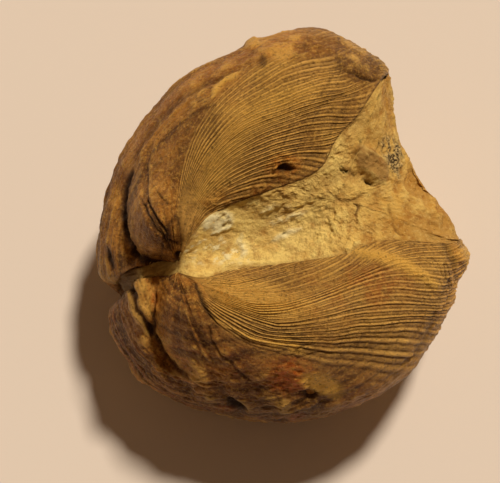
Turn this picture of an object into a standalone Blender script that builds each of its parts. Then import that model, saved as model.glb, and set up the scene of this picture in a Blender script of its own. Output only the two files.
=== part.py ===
"""Fossil clam: a right and a left ribbed valve, gaping on the stone that fills them.

The shapes are worked out in the clam's own frame, in millimetres: X runs from the
front (the beaks) to the rear, Y towards the right valve and Z out of the back, where
the hinge was. The clam then lies tilted on its belly, on a small worn flat, and the
middle of that flat is the origin.

A place on the surface has a bearing and a reach. The bearing is an angle about the
back pole, 0 at the rear and 90 on the right valve. The reach is 0 at the back pole,
1 on the rim that shows as the outline from above, and 2 at the belly pole.
"""

import math

import bpy
import numpy as np

MM = 0.001

# Driving dimensions, in millimetres and degrees
BACK_HEIGHT = 20.0
BELLY_DEPTH = 33.0
FLAT_DEPTH = 31.4
FRONT_RIM_DROP = 8.0
REAR_RIM_DROP = 3.0
BACK_POLE = np.array([12.5, 6.2])
BELLY_POLE = np.array([-3.0, -2.0])
LEAN = 0.17
LIE_ANGLE = 14.0
SHELL = 1.5
SEAM = 0.5
RIB_HEIGHT = 0.6
RIGHT_RIBS = 26
LEFT_RIBS = 29
MARGIN_REACH = 1.58
RIGHT_REAR = 68.2
LEFT_REAR = 341.3
REAR_REACH = 0.85
RIGHT_TIP = 26
LEFT_TIP = 23

# The way up as the clam lies, and the point above the back from which the places were measured
UP = np.array([0.0, math.sin(math.radians(LIE_ANGLE)), math.cos(math.radians(LIE_ANGLE))])
VIEW_HEIGHT = 412.5
VIEW_AXIS = np.array([-7.3, -3.4])

# Outline seen from the back: bearing in degrees, distance from the back pole in mm
OUTLINE = [
    (5, 19.9), (30, 17.7), (51, 19.9), (64, 25.9), (70, 30.4), (80, 33.1), (88, 35.2),
    (96, 37.4), (112, 38.6), (127, 40.0), (144, 43.8), (162, 47.5), (177, 50.9),
    (190, 53.8), (198, 55.6), (206, 57.2), (215, 58.5), (222, 59.0), (231, 57.2),
    (243, 53.5), (256, 50.7), (275, 45.5), (286, 42.9), (307, 36.4), (317, 33.8),
    (324, 31.8), (334, 30.9), (341, 28.2), (351, 24.9),
]
NOTCH_BEARING = 202.8
NOTCH_WIDTH = 2.0
NOTCH_DEPTH = 5.0

# Ridges, hollows and bosses of the back, as points seen from the back in mm
RIGHT_CREST = [(-26.5, -1.0), (-25.0, 9.0), (-20.0, 18.0), (-11.5, 25.0), (0.5, 29.5), (20.0, 30.0)]
LEFT_CREST = [(-22.5, -15.0), (-15.0, -21.0), (-3.0, -23.5), (12.5, -21.0), (34.5, -12.0)]
VALLEY = [(-25.0, -9.5), (-12.0, -4.5), (2.0, -1.0), (14.0, 4.0), (25.0, 9.0), (33.0, 12.0)]
RIGHT_UMBO = (-27.5, 1.0)
LEFT_UMBO = (-22.0, -16.5)
UPPER_GROOVE = [(-32.5, 15.0), (-34.8, 8.0), (-35.0, 2.0), (-33.8, -3.5), (-31.5, -7.0), (-26.0, -8.8)]
LOWER_GROOVE = [(-28.4, -13.0), (-28.4, -20.0), (-27.5, -25.5), (-24.0, -30.5), (-18.5, -34.5)]
KNOB = [(-30.8, -8.5), (-31.0, -13.0), (-30.5, -20.0)]

# Growth paths of the right valve: rib number, points seen from the back in mm, and
# for those that go over the rim the bearings and reaches of places on the belly side
RIGHT_BEAK = (-23.1, -7.9)
RIGHT_PATHS = [
    (0, [(-20.6, -3.5), (-17.2, 0.9), (-12.8, 4.2)], []),
    (2, [(-20.9, -2.8), (-16.5, 3.4), (-10.6, 6.2), (-4.2, 7.3)], []),
    (4, [(-21.2, -2.2), (-16.4, 5.0), (-8.8, 9.6), (-1.8, 11.0), (4.0, 10.2)], []),
    (8, [(-21.5, -1.5), (-18.0, 5.5), (-12.7, 11.0), (-5.2, 14.8), (3.7, 17.2), (11.4, 18.5)], []),
    (14, [(-21.8, -0.8), (-19.4, 7.0), (-14.4, 14.6), (-6.2, 20.4), (5.9, 25.0), (18.0, 26.5)], []),
    (19, [(-22.1, -0.2), (-20.6, 8.5), (-16.1, 16.9), (-8.4, 24.4), (3.7, 29.7), (14.7, 32.1)],
     [(RIGHT_REAR, 0.98)]),
    (23, [(-22.4, 0.2), (-21.4, 9.5), (-17.4, 20.0), (-10.6, 27.7), (-0.7, 33.9), (10.3, 37.2)],
     [(77, 1.08), (RIGHT_REAR, 1.27)]),
    (26, [(-22.8, 0.4), (-22.4, 11.2), (-18.9, 21.6), (-12.8, 29.4), (-5.1, 35.6), (3.7, 39.8)],
     [(88, 1.1), (80, 1.35), (RIGHT_REAR, MARGIN_REACH)]),
    (29, [(-24.4, -0.9), (-25.3, 10.1), (-22.7, 21.1), (-17.2, 29.9), (-10.6, 36.1)],
     [(112, 1.1), (103, 1.35), (92, MARGIN_REACH)]),
    (32, [(-26.2, -2.0), (-28.8, 7.7), (-28.2, 16.7), (-24.9, 24.4), (-22.7, 31.0)],
     [(120, MARGIN_REACH)]),
    (35, [(-26.6, -5.5), (-31.5, 3.5), (-31.9, 11.2), (-31.5, 22.2)], [(155, MARGIN_REACH)]),
    (38, [(-26.5, -8.2), (-31.9, -5.9), (-38.5, -1.8)], [(180, MARGIN_REACH)]),
    (40, [(-26.5, -8.9), (-32.0, -8.9), (-36.5, -12.6)], [(201, MARGIN_REACH)]),
]

# Growth paths of the left valve
LEFT_BEAK = (-23.1, -10.2)
LEFT_PATHS = [
    (0, [(-18.3, -11.3), (-10.6, -9.2)], []),
    (4, [(-16.5, -12.2), (-9.5, -11.6), (3.7, -7.7)], []),
    (9, [(-16.2, -13.2), (-7.3, -14.1), (5.9, -10.8), (17.0, -4.6)], []),
    (14, [(-16.3, -14.2), (-7.3, -16.5), (10.3, -13.0), (27.0, -6.4)], [(LEFT_REAR, 0.98)]),
    (20, [(-16.7, -15.5), (-5.6, -19.6), (12.5, -16.3), (32.3, -14.1)],
     [(325, 1.0), (332, 1.12), (LEFT_REAR, 1.28)]),
    (23, [(-17.1, -16.2), (-6.2, -21.3), (11.4, -20.2), (31.2, -18.5)],
     [(317, 1.0), (322, 1.17), (330, 1.38), (LEFT_REAR, MARGIN_REACH)]),
    (26, [(-17.5, -16.9), (-7.5, -22.9), (10.3, -24.0), (30.1, -22.9)],
     [(307, 1.0), (311, 1.18), (317, 1.38), (325, MARGIN_REACH)]),
    (29, [(-18.3, -17.6), (-9.2, -24.8), (0.4, -27.6), (12.5, -29.9), (24.6, -31.7)],
     [(300, MARGIN_REACH)]),
    (32, [(-20.2, -18.5), (-12.8, -30.6), (-0.7, -37.2), (8.1, -42.2)], [(270, MARGIN_REACH)]),
    (35, [(-22.2, -17.5), (-20.5, -26.2), (-15.0, -36.1), (-11.7, -41.6)], [(248, MARGIN_REACH)]),
    (37, [(-24.0, -16.5), (-26.0, -25.1), (-24.9, -31.7), (-22.9, -38.5)], [(234, MARGIN_REACH)]),
    (39, [(-25.4, -14.8), (-29.3, -20.7), (-32.6, -26.2), (-36.3, -24.0)], [(218, MARGIN_REACH)]),
    (41, [(-26.0, -10.7), (-31.0, -11.3), (-34.6, -14.8)], [(204.2, MARGIN_REACH)]),
]

# Mesh sizes
PATH_STEPS = 16
STEP_GROWTH = 1.2
STONE_COLUMNS = 7
COVERED_COLUMNS = 11
BELLY_COLUMNS = 3


def smooth_curve(knots, values, at):
    """Cubic curve through the values at the knots, each tangent the slope across its neighbours."""
    knots = np.asarray(knots, float)
    values = np.asarray(values, float)
    flat = values.reshape(len(knots), -1)
    tangents = np.gradient(flat, knots, axis=0)
    at = np.clip(np.asarray(at, float), knots[0], knots[-1])
    i = np.clip(np.searchsorted(knots, at, side="right") - 1, 0, len(knots) - 2)
    span = (knots[i + 1] - knots[i])[..., None]
    u = (at - knots[i])[..., None] / span
    start, end = flat[i], flat[i + 1]
    leave, arrive = tangents[i] * span, tangents[i + 1] * span
    bent = (
        start * (2 * u**3 - 3 * u**2 + 1)
        + leave * (u**3 - 2 * u**2 + u)
        + end * (3 * u**2 - 2 * u**3)
        + arrive * (u**3 - u**2)
    )
    return bent.reshape(at.shape + values.shape[1:])


def smooth_step(low, high, value):
    """0 below low, 1 above high, and an S-curve between them."""
    u = np.clip((value - low) / (high - low), 0, 1)
    return u * u * (3 - 2 * u)


def bell(distance, width):
    """1 at no distance, falling off on both sides as a bell curve of the given width."""
    return np.exp(-((distance / width) ** 2) / 2)


def evenly(path, count, growth=1.0):
    """Smooth curve through the points, resampled at even steps, or at steps that grow along it."""
    path = np.asarray(path, float)
    lengths = np.concatenate([[0], np.cumsum(np.linalg.norm(np.diff(path, axis=0), axis=1))])
    return smooth_curve(lengths, path, lengths[-1] * np.linspace(0, 1, count) ** growth)


def along(path, points):
    """Distance of the points from a path, and their share of the way along it."""
    line = evenly(path, 24)
    start, step = line[:-1], np.diff(line, axis=0)
    offset = points[:, None, :] - start[None]
    share = np.clip((offset * step).sum(2) / (step * step).sum(1), 0, 1)
    gaps = np.linalg.norm(offset - share[..., None] * step, axis=2)
    nearest = gaps.argmin(1)
    rows = np.arange(len(points))
    return gaps[rows, nearest], (nearest + share[rows, nearest]) / len(step)


def outline_radius(bearing):
    """Distance of the rim from the back pole, from the periodic curve through OUTLINE."""
    bearings, radii = np.array(OUTLINE, float).T
    bearings = np.concatenate([bearings[-3:] - 360, bearings, bearings[:3] + 360])
    radii = np.concatenate([radii[-3:], radii, radii[:3]])
    return smooth_curve(bearings, radii, np.asarray(bearing) % 360)


def ring_radius(bearing, reach):
    """The outline at the rim, easing into a plain off-centre circle towards the poles."""
    turn = np.radians(bearing - 215)
    circle = 20 * np.cos(turn) + np.sqrt(39**2 - (20 * np.sin(turn)) ** 2)
    share = smooth_step(0.15, 0.85, np.minimum(reach, 2 - reach))
    notch = NOTCH_DEPTH * bell(bearing - NOTCH_BEARING, NOTCH_WIDTH)
    notch = notch * smooth_step(0.6, 1, 1 - abs(reach - 1))
    return circle * (1 - share) + outline_radius(bearing) * share - notch


def chart(bearing, reach):
    """Flat map of the surface: the reach laid off along the bearing."""
    angle = np.radians(bearing)
    return np.stack([reach * np.cos(angle), reach * np.sin(angle)], -1)


def unchart(q):
    """Bearing and reach of places on the flat map."""
    reach = np.minimum(np.linalg.norm(q, axis=-1), 1.999)
    return np.degrees(np.arctan2(q[..., 1], q[..., 0])) % 360, reach


def seen_at(points):
    """Chart places that show at the given points of the view from the back."""
    offset = np.asarray(points, float) - BACK_POLE
    distance = np.linalg.norm(offset, axis=1)
    bearing = np.degrees(np.arctan2(offset[:, 1], offset[:, 0])) % 360
    low, high = np.zeros(len(offset)), np.ones(len(offset))
    for _ in range(30):
        middle = (low + high) / 2
        inside = np.sin(middle * np.pi / 2) * ring_radius(bearing, middle) < distance
        low, high = np.where(inside, middle, low), np.where(inside, high, middle)
    return chart(bearing, low)


def surface(q, hidden=0):
    """The clam's outside, with no ribs: chart places to points in the clam's frame, in mm.

    The lining of a valve (1) and the stone under it (2) have wider grooves and lower bosses.
    """
    spread = 1 + hidden
    bearing, reach = unchart(q)
    angle = np.radians(bearing)
    across = np.sin(reach * np.pi / 2)
    rise = np.abs(np.cos(reach * np.pi / 2))
    away = np.stack([np.cos(angle), np.sin(angle)], -1)
    rim = BACK_POLE + away * ring_radius(bearing, reach)[:, None]
    from_front = (bearing - 200 + 180) % 360 - 180
    from_rear = (bearing - 22 + 180) % 360 - 180
    from_below = (bearing - 275 + 180) % 360 - 180
    drop = FRONT_RIM_DROP * bell(from_front, 38) + REAR_RIM_DROP * bell(from_rear, 30)

    plan = BACK_POLE * (1 - across)[:, None] + rim * across[:, None]
    boxy = 1 - 0.55 * bell(from_rear, 32) - 0.35 * bell(from_below, 40)
    height = BACK_HEIGHT * (1 - LEAN * across * np.cos(angle)) * rise**boxy
    gap, share = along(RIGHT_CREST, plan)
    height = height + top_lift(gap, share, rise, 6.5, 2.5, 7.5)
    gap, share = along(LEFT_CREST, plan)
    height = height + top_lift(gap, share, rise, 5.5, 1.5, 7.5)
    gap, share = along(VALLEY, plan)
    height = height - top_lift(gap, share, rise, 7.5, 2.2, 5.0 + 7.0 * share)
    if hidden < 2:
        gap = np.linalg.norm(plan - RIGHT_UMBO, axis=1)
        height = height + top_lift(gap, 0, rise, 5.5, 0, 5.0)
        gap = np.linalg.norm(plan - LEFT_UMBO, axis=1)
        height = height + top_lift(gap, 0, rise, 3.5, 0, 4.5)
    gap, share = along(UPPER_GROOVE, plan)
    height = height - 5.0 * bell(gap, 1.7 * spread) * smooth_step(0, 0.3, share)
    gap, share = along(LOWER_GROOVE, plan)
    height = height - 4.0 * bell(gap, 1.6 * spread) * smooth_step(1, 0.6, share)
    gap, share = along(KNOB, plan)
    height = height + 2.5 * bell(gap, 1.5) * (hidden == 0)
    above = np.column_stack([plan, height - drop * across**2])

    middle = np.append(BELLY_POLE, 0.0)
    arm = np.column_stack([rim, -drop]) - middle
    lifted = arm @ UP
    level = arm - lifted[:, None] * UP
    fall = lifted - (BELLY_DEPTH + lifted) * rise
    below = middle + level * across[:, None] + fall[:, None] * UP

    point = np.where((reach < 1)[:, None], above, below)
    tall = np.maximum(point[:, 2], -12.0)
    point[:, :2] = VIEW_AXIS + (point[:, :2] - VIEW_AXIS) * (1 - tall / VIEW_HEIGHT)[:, None]
    return point


def top_lift(gap, share, rise, high, loss, width):
    """A ridge of the given height that loses some of it along its path and fades at the rim."""
    return (high - loss * share) * bell(gap, width) * smooth_step(0.0, 0.4, rise)


def outward(q, step=0.02, hidden=0):
    """Unit vectors out of the surface, from the slopes on both sides of each place."""
    across = surface(q + [step, 0], hidden) - surface(q - [step, 0], hidden)
    beside = surface(q + [0, step], hidden) - surface(q - [0, step], hidden)
    normal = np.cross(across, beside)
    return normal / np.linalg.norm(normal, axis=1)[:, None]


def path_places(beak, paths, steps):
    """Rib number of each growth path, and its chart places at even steps from the beak."""
    places = []
    for _, points, end in paths:
        q = seen_at([beak] + points)
        if end:
            q = np.vstack([q, chart(*np.array(end).T)])
        places.append(evenly(q, steps + 1, STEP_GROWTH))
    return [number for number, _, _ in paths], np.array(places)


def valve_places(beak, paths, steps, rows):
    """Chart places of a valve: one row for each rib number, running from the beak to the edge."""
    numbers, places = path_places(beak, paths, steps)
    grid = smooth_curve(numbers, places, rows)
    straight = round(0.2 * steps)
    share = (np.arange(straight + 1) / straight) ** STEP_GROWTH
    stretch = grid[:, straight:straight + 1] - grid[:, :1]
    grid[:, :straight + 1] = grid[:, :1] + share[:, None] * stretch
    return grid


def zip_loops(outer, outer_at, inner, inner_at):
    """Triangles that join two closed loops, each loop with a rising position from 0 to 1."""
    faces = []
    i, j = 0, 0
    while i < len(outer) or j < len(inner):
        next_i = outer_at[i + 1] if i + 1 < len(outer) else 1.0
        next_j = inner_at[j + 1] if j + 1 < len(inner) else 1.0
        if j == len(inner) or (i < len(outer) and next_i <= next_j):
            faces.append((outer[i], outer[(i + 1) % len(outer)], inner[j % len(inner)]))
            i += 1
        else:
            faces.append((outer[i % len(outer)], inner[(j + 1) % len(inner)], inner[j]))
            j += 1
    return faces


def flatness(first, second):
    """1 where two triangles with these normals lie in one plane, less where they bend."""
    return first @ second / (np.linalg.norm(first) * np.linalg.norm(second))


def halves(points, a, b, c, d):
    """The two triangles of a four-sided facet, cut along the diagonal that bends it less."""
    to_b, to_c, to_d = points[[b, c, d]] - points[a]
    along_ac = flatness(np.cross(to_b, to_c), np.cross(to_c, to_d))
    along_bd = flatness(np.cross(to_b, to_d), np.cross(to_c - to_b, to_d - to_b))
    if along_ac > along_bd:
        return [(a, b, c), (a, c, d)]
    return [(a, b, d), (b, c, d)]


def fan(points, first, numbers, steps):
    """Triangles of a grid whose rows all start at one point, and its border as a loop."""
    rows, last = len(numbers), numbers[-1]

    def at(row, step):
        return first if step == 0 else first + 1 + row * steps + step - 1

    faces = []
    for row in range(rows - 1):
        faces.append((first, at(row, 1), at(row + 1, 1)))
        for step in range(1, steps):
            near = at(row, step), at(row, step + 1)
            far = at(row + 1, step + 1), at(row + 1, step)
            faces += halves(points, *near, *far)
    border = [at(0, step) for step in range(steps + 1)]
    border += [at(row, steps) for row in range(1, rows)]
    border += [at(rows - 1, step) for step in range(steps - 1, 0, -1)]
    place = [step / steps / 3 for step in range(steps + 1)]
    place += [(1 + number / last) / 3 for number in numbers[1:]]
    place += [(2 + (steps - step) / steps) / 3 for step in range(steps - 1, 0, -1)]
    return faces, border, place


def volume(points, faces):
    """Volume inside closed triangles, negative where they face inwards."""
    a, b, c = points[np.array(faces)].transpose(1, 0, 2)
    return (np.cross(a, b) * c).sum() / 6


def valve_mesh(beak, paths, ribbed):
    """One valve: ribbed outside, plain lining a shell's thickness inside it, joined at the border."""
    last = paths[-1][0]
    numbers = np.concatenate([np.arange(0, ribbed, 0.5), np.arange(ribbed, last + 1, 1.0)])
    q = valve_places(beak, paths, PATH_STEPS, numbers).reshape(-1, 2)
    plain = surface(q).reshape(len(numbers), -1, 3)
    spacing = np.linalg.norm(np.gradient(plain, numbers, axis=0), axis=2)
    share = np.linspace(0, 1, PATH_STEPS + 1) ** STEP_GROWTH
    fade = smooth_step(ribbed + 1, ribbed - 5, numbers)[:, None] * smooth_step(0.12, 0.3, share)
    relief = np.cos(2 * np.pi * numbers)[:, None] * RIB_HEIGHT / 2 * np.minimum(spacing, 1) * fade
    outer = plain + outward(q).reshape(plain.shape) * relief[..., None]
    inner_numbers = np.concatenate([np.arange(0, ribbed - 1, 1.5), np.arange(ribbed, last + 1, 1.0)])
    q = valve_places(beak, paths, PATH_STEPS, inner_numbers).reshape(-1, 2)
    share = np.tile(np.linspace(0, 1, PATH_STEPS + 1) ** STEP_GROWTH, len(inner_numbers))
    thickness = SHELL * (0.4 + 0.6 * smooth_step(0, 0.12, share))
    inner = surface(q, 1) - outward(q, 0.04, 1) * thickness[:, None]
    inner = inner.reshape(len(inner_numbers), -1, 3)

    grids = [np.vstack([grid[:1, 0], grid[:, 1:].reshape(-1, 3)]) for grid in (outer, inner)]
    points = np.vstack(grids)
    faces, rim_out, at_out = fan(points, 0, numbers, PATH_STEPS)
    lining, rim_in, at_in = fan(points, len(grids[0]), inner_numbers, PATH_STEPS)
    faces += [face[::-1] for face in lining]
    faces += [face[::-1] for face in zip_loops(rim_out, at_out, rim_in, at_in)]
    return points, faces


def hinge_side_edge(beak, paths, tip):
    """Chart places along a valve's edge, from the beak to where it meets the belly margin."""
    numbers, places = path_places(beak, paths, PATH_STEPS)
    ends = smooth_curve(numbers, places[:, -1], np.linspace(0, tip, 300))
    return np.vstack([places[0][:-1], ends])


def belly_margin(beak, paths, tip):
    """Bearings and reaches of a valve's belly margin, from the rear to the front."""
    numbers, places = path_places(beak, paths, PATH_STEPS)
    return unchart(smooth_curve(numbers, places[:, -1], np.linspace(tip, numbers[-1], 200)))


def inset(edge, count):
    """Places spread along an edge and around the rim, moved a seam's width off the valve."""
    turn = np.unwrap(np.arctan2(edge[:, 1], edge[:, 0]))
    lengths = np.linalg.norm(np.diff(edge, axis=0), axis=1) + 0.6 * np.abs(np.diff(turn))
    lengths = np.concatenate([[0], np.cumsum(lengths)])
    at = np.linspace(0, lengths[-1], count)
    q = np.column_stack([np.interp(at, lengths, edge[:, 0]), np.interp(at, lengths, edge[:, 1])])
    tangent = np.gradient(q, axis=0)
    turning = np.sign((q[:-1, 0] * q[1:, 1] - q[:-1, 1] * q[1:, 0]).sum())
    side = turning * np.stack([-tangent[:, 1], tangent[:, 0]], -1)
    side /= np.linalg.norm(side, axis=1)[:, None]
    speed = np.linalg.norm(surface(q + side * 0.01) - surface(q), axis=1) / 0.01
    width = SEAM * (1 + 2 * smooth_step(0.15, 0.75, np.linalg.norm(q, axis=1)))
    q = q + side * (width / speed)[:, None]
    return q[np.linalg.norm(q, axis=1) < REAR_REACH]


def lumps(points):
    """Low rounded unevenness of the bare stone, from three crossing waves, in mm."""
    x, y, z = points.T
    first = np.sin(0.55 * x + 0.2 * y + 0.4)
    second = np.sin(0.31 * y - 0.42 * x + 0.3 * z)
    third = np.sin(0.7 * y + 0.25 * z)
    return 0.14 * (first + second + third)


def stone_mesh():
    """The stone: bare where it shows, and sunk under the valves by their thickness and a seam."""
    right = inset(hinge_side_edge(RIGHT_BEAK, RIGHT_PATHS, RIGHT_TIP), 42)[::-1]
    left = inset(hinge_side_edge(LEFT_BEAK, LEFT_PATHS, LEFT_TIP), 42)
    front = (right[-1:] + left[:1]) / 2
    bearing, edge = unchart(np.vstack([right, front, left]))
    bearing = np.concatenate([[RIGHT_REAR - 2.5], bearing, [LEFT_REAR + 2.5]])
    edge = np.concatenate([[REAR_REACH], edge, [REAR_REACH]])
    right_margin = belly_margin(RIGHT_BEAK, RIGHT_PATHS, RIGHT_TIP)
    left_margin = belly_margin(LEFT_BEAK, LEFT_PATHS, LEFT_TIP)
    at = np.concatenate([right_margin[0], left_margin[0]])
    reach = np.concatenate(right_margin[1:] + left_margin[1:])
    order = np.argsort(at)
    margin = np.interp(bearing, at[order], reach[order]) + 2 * SEAM / ring_radius(bearing, 1.5)
    edge = np.minimum(edge, margin - 0.06)
    rear = np.linspace(LEFT_REAR + 4, RIGHT_REAR + 356, 10)
    covered = np.concatenate([bearing > 0, rear < 0])
    bearing = np.concatenate([bearing, rear])
    edge = np.concatenate([edge, REAR_REACH + 0 * rear])
    margin = np.concatenate([margin, MARGIN_REACH + 0 * rear])
    angle = np.radians(bearing)
    away = np.stack([np.cos(angle), np.sin(angle)], -1)
    rim = BACK_POLE + away * ring_radius(bearing, 1.5)[:, None]
    lifted = (rim - BELLY_POLE) @ UP[:2]
    flat = 2 - np.arccos(np.minimum((FLAT_DEPTH + lifted) / (BELLY_DEPTH + lifted), 1)) * 2 / np.pi
    bare = edge[:, None] * np.linspace(1 / STONE_COLUMNS, 1, STONE_COLUMNS)
    under = (edge + 0.006)[:, None] + (margin - edge - 0.012)[:, None] * np.linspace(0, 1, COVERED_COLUMNS)
    belly = margin[:, None] + (flat - margin)[:, None] * np.linspace(0, 1, BELLY_COLUMNS)
    reaches = np.hstack([bare, under, belly])
    q = chart(bearing[:, None], reaches).reshape(-1, 2)
    is_under = np.zeros(reaches.shape, bool)
    is_under[:, STONE_COLUMNS:STONE_COLUMNS + COVERED_COLUMNS] = covered[:, None]
    bare_points = surface(q)
    bare_points = bare_points + outward(q) * lumps(bare_points)[:, None]
    from_rear = np.abs((bearing[:, None] - 22 + 180) % 360 - 180)
    at_front = bell(bearing[:, None] - 188, 28) * smooth_step(0.6, 0.8, reaches)
    at_front = at_front * smooth_step(1.5, 1.1, reaches)
    at_rim = bell(reaches - 1, 0.22) * smooth_step(38, 65, from_rear)
    deeper = (4.0 * at_front + 1.6 * at_rim).reshape(-1, 1)
    level = np.sin(reaches * np.pi / 2)
    inwards = -np.stack([
        np.cos(angle)[:, None] * level,
        np.sin(angle)[:, None] * level,
        np.cos(reaches * np.pi / 2),
    ], -1).reshape(-1, 3)
    sunk_points = surface(q, 2) - outward(q, 0.04, 2) * (SHELL + SEAM + 0.6) + inwards * deeper
    points = np.where(is_under.reshape(-1, 1), sunk_points, bare_points)
    floor = np.append(BELLY_POLE, 0.0) @ UP - FLAT_DEPTH
    grid = points.reshape(reaches.shape + (3,))
    on_flat = grid[:, -1]
    grid[:, -1] = on_flat + (floor - on_flat @ UP)[:, None] * UP
    rest = on_flat.mean(0)

    spokes, columns = reaches.shape
    pole = surface(np.array([[1e-6, 0.0]]))
    points = np.vstack([pole, grid.reshape(-1, 3)])
    faces = []
    for spoke in range(spokes):
        here, there = 1 + spoke * columns, 1 + (spoke + 1) % spokes * columns
        faces.append((0, here, there))
        for column in range(columns - 1):
            corners = here + column, here + column + 1, there + column + 1, there + column
            faces += halves(points, *corners)
    faces.append(tuple(1 + spoke * columns + columns - 1 for spoke in reversed(range(spokes))))
    return points, faces, rest


def add_piece(name, slot, color, roughness, points, faces, rest):
    """One closed body, turned and set down so that the middle of the flat is the origin."""
    if volume(points, [face[:3] for face in faces]) < 0:
        faces = [face[::-1] for face in faces]
    mesh = bpy.data.meshes.new(name)
    mesh.from_pydata((points * MM).tolist(), [], faces)
    material = bpy.data.materials.new(slot)
    material.use_nodes = True
    shader = material.node_tree.nodes["Principled BSDF"]
    shader.inputs["Base Color"].default_value = (*color, 1.0)
    shader.inputs["Roughness"].default_value = roughness
    mesh.materials.append(material)
    piece = bpy.data.objects.new(name, mesh)
    lie = math.radians(LIE_ANGLE)
    turned = np.array([rest[0], rest @ np.array([0, math.cos(lie), -math.sin(lie)]), rest @ UP])
    piece.rotation_euler = (lie, 0.0, 0.0)
    piece.location = (-turned * MM).tolist()
    bpy.context.collection.objects.link(piece)


for old in list(bpy.data.objects):
    bpy.data.objects.remove(old)

stone_points, stone_faces, rest_point = stone_mesh()
right_points, right_faces = valve_mesh(RIGHT_BEAK, RIGHT_PATHS, RIGHT_RIBS)
left_points, left_faces = valve_mesh(LEFT_BEAK, LEFT_PATHS, LEFT_RIBS)
add_piece("matrix", "stone", (0.58, 0.38, 0.16), 0.85, stone_points, stone_faces, rest_point)
add_piece("right_valve", "shell_right", (0.30, 0.14, 0.045), 0.6, right_points, right_faces, rest_point)
add_piece("left_valve", "shell_left", (0.33, 0.16, 0.055), 0.6, left_points, left_faces, rest_point)
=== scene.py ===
"""A fossil clam with its two ribbed valves gaping on the stone that fills them.

Every shape is worked out in the clam's own frame, in millimetres: X runs from the beaks
to the rear, Y towards the right valve and Z out of the back. The clam lies tilted on its
belly, and the middle of its small worn flat is the origin of the finished model.
"""

import math

import bpy
import numpy as np
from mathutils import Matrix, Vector


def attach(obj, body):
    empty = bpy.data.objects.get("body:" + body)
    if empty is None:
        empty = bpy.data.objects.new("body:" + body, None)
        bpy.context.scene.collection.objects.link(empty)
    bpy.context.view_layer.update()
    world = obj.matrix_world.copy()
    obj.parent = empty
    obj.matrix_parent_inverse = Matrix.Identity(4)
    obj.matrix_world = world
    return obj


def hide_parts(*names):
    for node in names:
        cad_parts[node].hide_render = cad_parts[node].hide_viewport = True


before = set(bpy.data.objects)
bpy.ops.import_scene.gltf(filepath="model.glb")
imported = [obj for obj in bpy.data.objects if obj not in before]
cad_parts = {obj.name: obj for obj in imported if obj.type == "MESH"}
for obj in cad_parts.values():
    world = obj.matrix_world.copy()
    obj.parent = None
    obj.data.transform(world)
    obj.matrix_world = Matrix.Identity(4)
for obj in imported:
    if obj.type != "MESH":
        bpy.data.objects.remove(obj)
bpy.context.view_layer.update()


# The stone
# Lime mud that set hard inside and between the open valves, ochre with white calcite, grey
# crystals and brown shell crumbs. One solid: it shows along the back, at the rear and below.

BACK_HEIGHT = 20.0
BELLY_DEPTH = 33.0
FRONT_RIM_DROP = 8.0
REAR_RIM_DROP = 3.0
BACK_POLE = np.array([12.5, 6.2])
BELLY_POLE = np.array([-3.0, -2.0])
LEAN = 0.17
LIE_ANGLE = 14.0
UP = np.array([0.0, math.sin(math.radians(LIE_ANGLE)), math.cos(math.radians(LIE_ANGLE))])
REST_POINT = np.array([-0.9766, -9.4849, -30.4951])
VIEW_HEIGHT = 412.5
VIEW_AXIS = np.array([-7.3, -3.4])

# Rim seen from the back: bearing about the back pole in degrees, distance from it in mm
OUTLINE = [
    (5, 19.9), (30, 17.7), (51, 19.9), (64, 25.9), (70, 30.4), (80, 33.1), (88, 35.2),
    (96, 37.4), (112, 38.6), (127, 40.0), (144, 43.8), (162, 47.5), (177, 50.9),
    (190, 53.8), (198, 55.6), (206, 57.2), (215, 58.5), (222, 59.0), (231, 57.2),
    (243, 53.5), (256, 50.7), (275, 45.5), (286, 42.9), (307, 36.4), (317, 33.8),
    (324, 31.8), (334, 30.9), (341, 28.2), (351, 24.9),
]
NOTCH_BEARING = 202.8
NOTCH_WIDTH = 2.0
NOTCH_DEPTH = 5.0

# Ridges, hollows and bosses of the back, as points seen from the back in mm
RIGHT_CREST = [(-26.5, -1.0), (-25.0, 9.0), (-20.0, 18.0), (-11.5, 25.0), (0.5, 29.5), (20.0, 30.0)]
LEFT_CREST = [(-22.5, -15.0), (-15.0, -21.0), (-3.0, -23.5), (12.5, -21.0), (34.5, -12.0)]
VALLEY = [(-25.0, -9.5), (-12.0, -4.5), (2.0, -1.0), (14.0, 4.0), (25.0, 9.0), (33.0, 12.0)]
RIGHT_UMBO = (-27.5, 1.0)
LEFT_UMBO = (-22.0, -16.5)
UPPER_GROOVE = [(-32.5, 15.0), (-34.8, 8.0), (-35.0, 2.0), (-33.8, -3.5), (-31.5, -7.0), (-26.0, -8.8)]
LOWER_GROOVE = [(-28.4, -13.0), (-28.4, -20.0), (-27.5, -25.5), (-24.0, -30.5), (-18.5, -34.5)]
KNOB = [(-30.8, -8.5), (-31.0, -13.0), (-30.5, -20.0)]

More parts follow.
